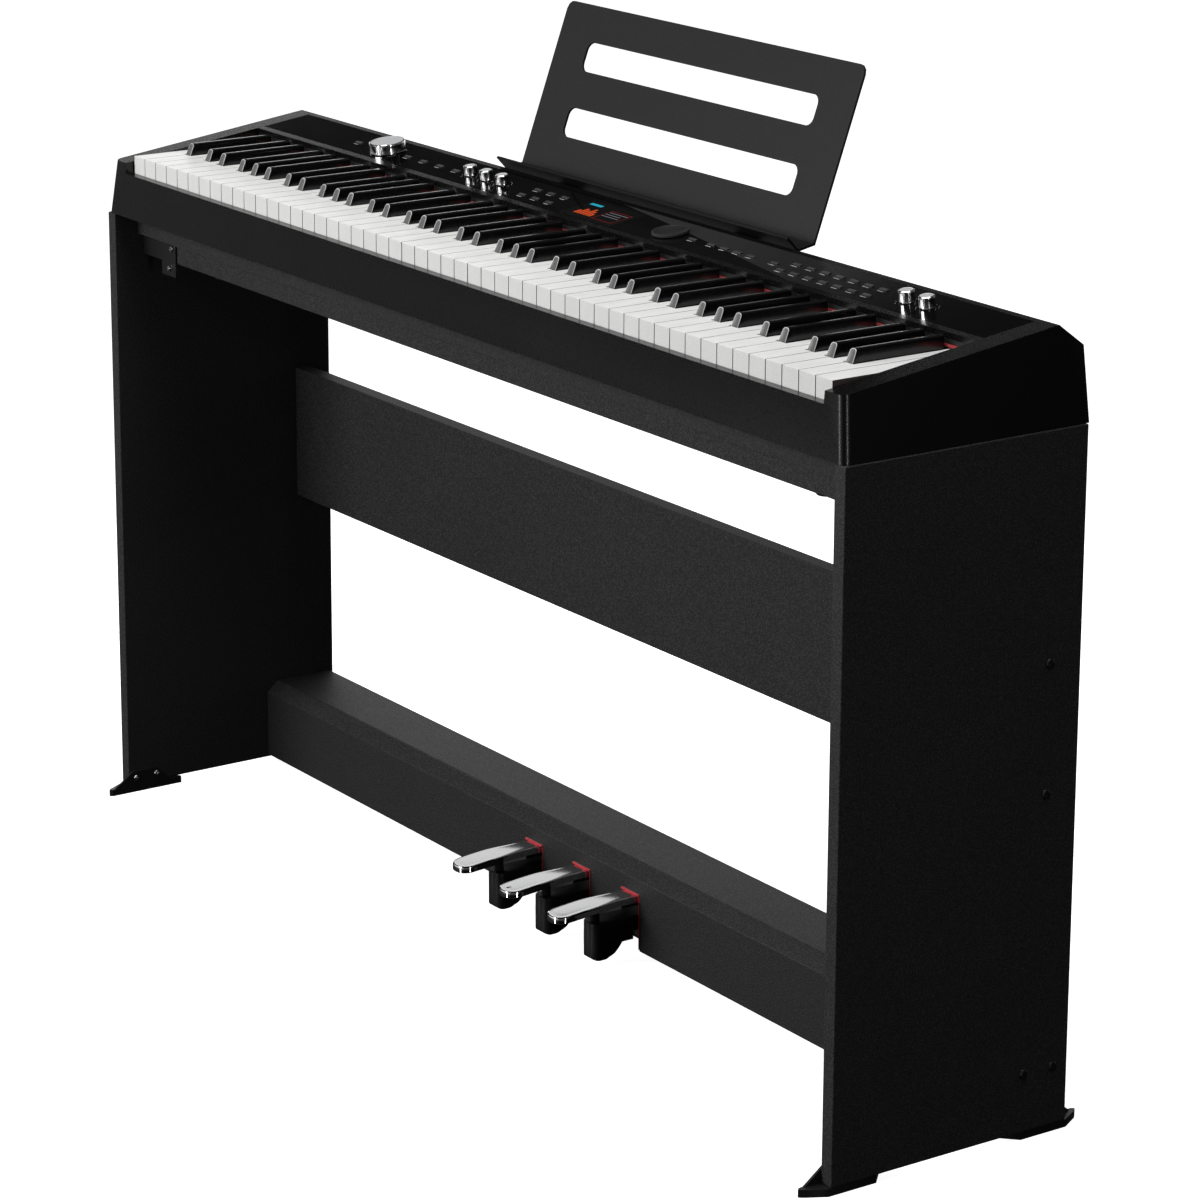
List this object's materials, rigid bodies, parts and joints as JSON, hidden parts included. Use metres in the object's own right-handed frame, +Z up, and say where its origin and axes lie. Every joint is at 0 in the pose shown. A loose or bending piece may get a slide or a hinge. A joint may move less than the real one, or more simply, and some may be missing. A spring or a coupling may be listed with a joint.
{
  "type": "digital piano on stand",
  "caption": "Slim digital piano with weighted keys on a panel-leg furniture stand with a pedal board, music rest and control panel.",
  "frame": {"origin": "on the floor under the middle of the outline", "axes": "+X from the low notes to the high notes, +Y from the player to the back, +Z up"},
  "size_m": [1.296, 0.3574, 0.9117],
  "materials": {
    "laminate_black": "black laminate with a fine speckle",
    "steel_black": "satin black powder coat",
    "case_black": "satin, fine texture",
    "plastic_black": "satin",
    "panel_gloss": "high gloss black",
    "key_white": "fine lengthwise grain",
    "key_black": "satin",
    "pedal_chrome": "polished edge, satin top",
    "knob_chrome": "polished side, satin top",
    "button_grey": "dark grey satin",
    "rest_black": "dark grey satin powder coat",
    "display_glass": null,
    "board_green": "solder mask",
    "speaker_cone": "matt",
    "felt_red": "pressed felt",
    "screw_bright": "zinc plated",
    "marking_grey": "printed marks without lettering",
    "rubber_black": "matt"
  },
  "bodies": {
    "piano": {"side_panel_left": "laminate_black", "side_panel_right": "laminate_black", "modesty_board": "laminate_black", "pedal_box_front": "laminate_black", "pedal_box_top": "laminate_black", "rail_top_board": "laminate_black", "front_rail": "laminate_black", "rail_bracket": "steel_black", "thumb_screw_left": "steel_black", "thumb_screw_right": "steel_black", "foot_front_left": "steel_black", "foot_front_right": "steel_black", "foot_rear_left": "steel_black", "foot_rear_right": "steel_black", "pedal_support_left": "plastic_black", "pedal_support_centre": "plastic_black", "pedal_support_right": "plastic_black", "pedal_mount": "steel_black", "upper_case": "case_black", "bottom_case": "plastic_black", "rear_jack_plate": "plastic_black", "control_panel": "panel_gloss", "key_frame": "steel_black", "key_felt": "felt_red", "main_board": "board_green", "speaker_left": "speaker_cone", "speaker_right": "speaker_cone", "display_lens": "display_glass"},
    "key_c": {"key_c": "key_white"},
    "key_c_sharp": {"key_c_sharp": "key_black"},
    "key_d": {"key_d": "key_white"},
    "key_d_sharp": {"key_d_sharp": "key_black"},
    "key_e": {"key_e": "key_white"},
    "key_f": {"key_f": "key_white"},
    "key_f_sharp": {"key_f_sharp": "key_black"},
    "key_g": {"key_g": "key_white"},
    "key_g_sharp": {"key_g_sharp": "key_black"},
    "key_a": {"key_a": "key_white"},
    "key_a_sharp": {"key_a_sharp": "key_black"},
    "key_b": {"key_b": "key_white"},
    "naturals_low": {"naturals_low": "key_white"},
    "naturals_high": {"naturals_high": "key_white"},
    "sharps_low": {"sharps_low": "key_black"},
    "sharps_high": {"sharps_high": "key_black"},
    "pedal_left": {"pedal_left": "pedal_chrome"},
    "pedal_centre": {"pedal_centre": "pedal_chrome"},
    "pedal_right": {"pedal_right": "pedal_chrome"},
    "volume_knob": {"volume_knob": "knob_chrome"},
    "effect_knob_1": {"effect_knob_1": "knob_chrome"},
    "effect_knob_2": {"effect_knob_2": "knob_chrome"},
    "effect_knob_3": {"effect_knob_3": "knob_chrome"},
    "tone_knob_1": {"tone_knob_1": "knob_chrome"},
    "tone_knob_2": {"tone_knob_2": "knob_chrome"},
    "jog_dial": {"jog_dial": "plastic_black"},
    "power_button": {"power_button": "button_grey"},
    "voice_buttons": {"voice_buttons": "button_grey"},
    "effect_buttons": {"effect_buttons": "button_grey"},
    "dial_buttons": {"dial_buttons": "button_grey"},
    "style_buttons": {"style_buttons": "button_grey"},
    "music_rest": {"music_rest": "rest_black"}
  },
  "joints": [
    {"name": "key_c_press", "type": "hinge", "parent": "piano", "child": "key_c", "pos_m": [-0.05875, 0.05976, 0.7], "axis": [1, 0, 0], "range_deg": [0, 2.8], "stiffness_Nm_per_rad": 1.2, "springref_deg": -8.59},
    {"name": "key_c_sharp_press", "type": "hinge", "parent": "piano", "child": "key_c_sharp", "pos_m": [-0.047, 0.05976, 0.7], "axis": [1, 0, 0], "range_deg": [0, 2.8], "stiffness_Nm_per_rad": 0.8, "springref_deg": -8.59},
    {"name": "key_d_press", "type": "hinge", "parent": "piano", "child": "key_d", "pos_m": [-0.03525, 0.05976, 0.7], "axis": [1, 0, 0], "range_deg": [0, 2.8], "stiffness_Nm_per_rad": 1.2, "springref_deg": -8.59},
    {"name": "key_d_sharp_press", "type": "hinge", "parent": "piano", "child": "key_d_sharp", "pos_m": [-0.0235, 0.05976, 0.7], "axis": [1, 0, 0], "range_deg": [0, 2.8], "stiffness_Nm_per_rad": 0.8, "springref_deg": -8.59},
    {"name": "key_e_press", "type": "hinge", "parent": "piano", "child": "key_e", "pos_m": [-0.01175, 0.05976, 0.7], "axis": [1, 0, 0], "range_deg": [0, 2.8], "stiffness_Nm_per_rad": 1.2, "springref_deg": -8.59},
    {"name": "key_f_press", "type": "hinge", "parent": "piano", "child": "key_f", "pos_m": [0.01175, 0.05976, 0.7], "axis": [1, 0, 0], "range_deg": [0, 2.8], "stiffness_Nm_per_rad": 1.2, "springref_deg": -8.59},
    {"name": "key_f_sharp_press", "type": "hinge", "parent": "piano", "child": "key_f_sharp", "pos_m": [0.0235, 0.05976, 0.7], "axis": [1, 0, 0], "range_deg": [0, 2.8], "stiffness_Nm_per_rad": 0.8, "springref_deg": -8.59},
    {"name": "key_g_press", "type": "hinge", "parent": "piano", "child": "key_g", "pos_m": [0.03525, 0.05976, 0.7], "axis": [1, 0, 0], "range_deg": [0, 2.8], "stiffness_Nm_per_rad": 1.2, "springref_deg": -8.59},
    {"name": "key_g_sharp_press", "type": "hinge", "parent": "piano", "child": "key_g_sharp", "pos_m": [0.047, 0.05976, 0.7], "axis": [1, 0, 0], "range_deg": [0, 2.8], "stiffness_Nm_per_rad": 0.8, "springref_deg": -8.59},
    {"name": "key_a_press", "type": "hinge", "parent": "piano", "child": "key_a", "pos_m": [0.05875, 0.05976, 0.7], "axis": [1, 0, 0], "range_deg": [0, 2.8], "stiffness_Nm_per_rad": 1.2, "springref_deg": -8.59},
    {"name": "key_a_sharp_press", "type": "hinge", "parent": "piano", "child": "key_a_sharp", "pos_m": [0.0705, 0.05976, 0.7], "axis": [1, 0, 0], "range_deg": [0, 2.8], "stiffness_Nm_per_rad": 0.8, "springref_deg": -8.59},
    {"name": "key_b_press", "type": "hinge", "parent": "piano", "child": "key_b", "pos_m": [0.08225, 0.05976, 0.7], "axis": [1, 0, 0], "range_deg": [0, 2.8], "stiffness_Nm_per_rad": 1.2, "springref_deg": -8.59},
    {"name": "naturals_low_press", "type": "hinge", "parent": "piano", "child": "naturals_low", "pos_m": [-0.35, 0.05976, 0.7], "axis": [1, 0, 0], "range_deg": [0, 2.8], "stiffness_Nm_per_rad": 27.6, "springref_deg": -8.59},
    {"name": "naturals_high_press", "type": "hinge", "parent": "piano", "child": "naturals_high", "pos_m": [0.35, 0.05976, 0.7], "axis": [1, 0, 0], "range_deg": [0, 2.8], "stiffness_Nm_per_rad": 26.4, "springref_deg": -8.59},
    {"name": "sharps_low_press", "type": "hinge", "parent": "piano", "child": "sharps_low", "pos_m": [-0.35, 0.05976, 0.7], "axis": [1, 0, 0], "range_deg": [0, 2.8], "stiffness_Nm_per_rad": 12.8, "springref_deg": -8.59},
    {"name": "sharps_high_press", "type": "hinge", "parent": "piano", "child": "sharps_high", "pos_m": [0.35, 0.05976, 0.7], "axis": [1, 0, 0], "range_deg": [0, 2.8], "stiffness_Nm_per_rad": 12, "springref_deg": -8.59},
    {"name": "pedal_left_press", "type": "hinge", "parent": "piano", "child": "pedal_left", "pos_m": [-0.0865, 0.08576, 0.06], "axis": [1, 0, 0], "range_deg": [0, 4.5], "stiffness_Nm_per_rad": 8, "springref_deg": -6.88},
    {"name": "pedal_centre_press", "type": "hinge", "parent": "piano", "child": "pedal_centre", "pos_m": [0, 0.08576, 0.06], "axis": [1, 0, 0], "range_deg": [0, 4.5], "stiffness_Nm_per_rad": 8, "springref_deg": -6.88},
    {"name": "pedal_right_press", "type": "hinge", "parent": "piano", "child": "pedal_right", "pos_m": [0.0865, 0.08576, 0.06], "axis": [1, 0, 0], "range_deg": [0, 4.5], "stiffness_Nm_per_rad": 8, "springref_deg": -6.88},
    {"name": "volume_knob_turn", "type": "hinge", "parent": "piano", "child": "volume_knob", "pos_m": [-0.396, 0.04691, 0.74324], "axis": [0, -0.1324, 0.9912], "range_deg": [-150, 150]},
    {"name": "effect_knob_1_turn", "type": "hinge", "parent": "piano", "child": "effect_knob_1", "pos_m": [-0.2355, 0.04691, 0.74324], "axis": [0, -0.1324, 0.9912], "range_deg": [-150, 150]},
    {"name": "effect_knob_2_turn", "type": "hinge", "parent": "piano", "child": "effect_knob_2", "pos_m": [-0.206, 0.04691, 0.74324], "axis": [0, -0.1324, 0.9912], "range_deg": [-150, 150]},
    {"name": "effect_knob_3_turn", "type": "hinge", "parent": "piano", "child": "effect_knob_3", "pos_m": [-0.1765, 0.04691, 0.74324], "axis": [0, -0.1324, 0.9912], "range_deg": [-150, 150]},
    {"name": "tone_knob_1_turn", "type": "hinge", "parent": "piano", "child": "tone_knob_1", "pos_m": [0.476, 0.04691, 0.74324], "axis": [0, -0.1324, 0.9912], "range_deg": [-150, 150]},
    {"name": "tone_knob_2_turn", "type": "hinge", "parent": "piano", "child": "tone_knob_2", "pos_m": [0.5045, 0.04691, 0.74324], "axis": [0, -0.1324, 0.9912], "range_deg": [-150, 150]},
    {"name": "jog_dial_turn", "type": "hinge", "parent": "piano", "child": "jog_dial", "pos_m": [0.1156, 0.04691, 0.74324], "axis": [0, -0.1324, 0.9912], "continuous": true},
    {"name": "power_button_press", "type": "slide", "parent": "piano", "child": "power_button", "axis": [0, 0.1324, -0.9912], "range_m": [0, 0.001], "stiffness_N_per_m": 300, "springref_m": -0.002},
    {"name": "voice_buttons_press", "type": "slide", "parent": "piano", "child": "voice_buttons", "axis": [0, 0.1324, -0.9912], "range_m": [0, 0.001], "stiffness_N_per_m": 300, "springref_m": -0.002},
    {"name": "effect_buttons_press", "type": "slide", "parent": "piano", "child": "effect_buttons", "axis": [0, 0.1324, -0.9912], "range_m": [0, 0.001], "stiffness_N_per_m": 300, "springref_m": -0.002},
    {"name": "dial_buttons_press", "type": "slide", "parent": "piano", "child": "dial_buttons", "axis": [0, 0.1324, -0.9912], "range_m": [0, 0.001], "stiffness_N_per_m": 300, "springref_m": -0.002},
    {"name": "style_buttons_press", "type": "slide", "parent": "piano", "child": "style_buttons", "axis": [0, 0.1324, -0.9912], "range_m": [0, 0.001], "stiffness_N_per_m": 300, "springref_m": -0.002},
    {"name": "music_rest_lift", "type": "slide", "parent": "piano", "child": "music_rest", "axis": [0, 0, 1], "range_m": [0, 0.03]}
  ]
}
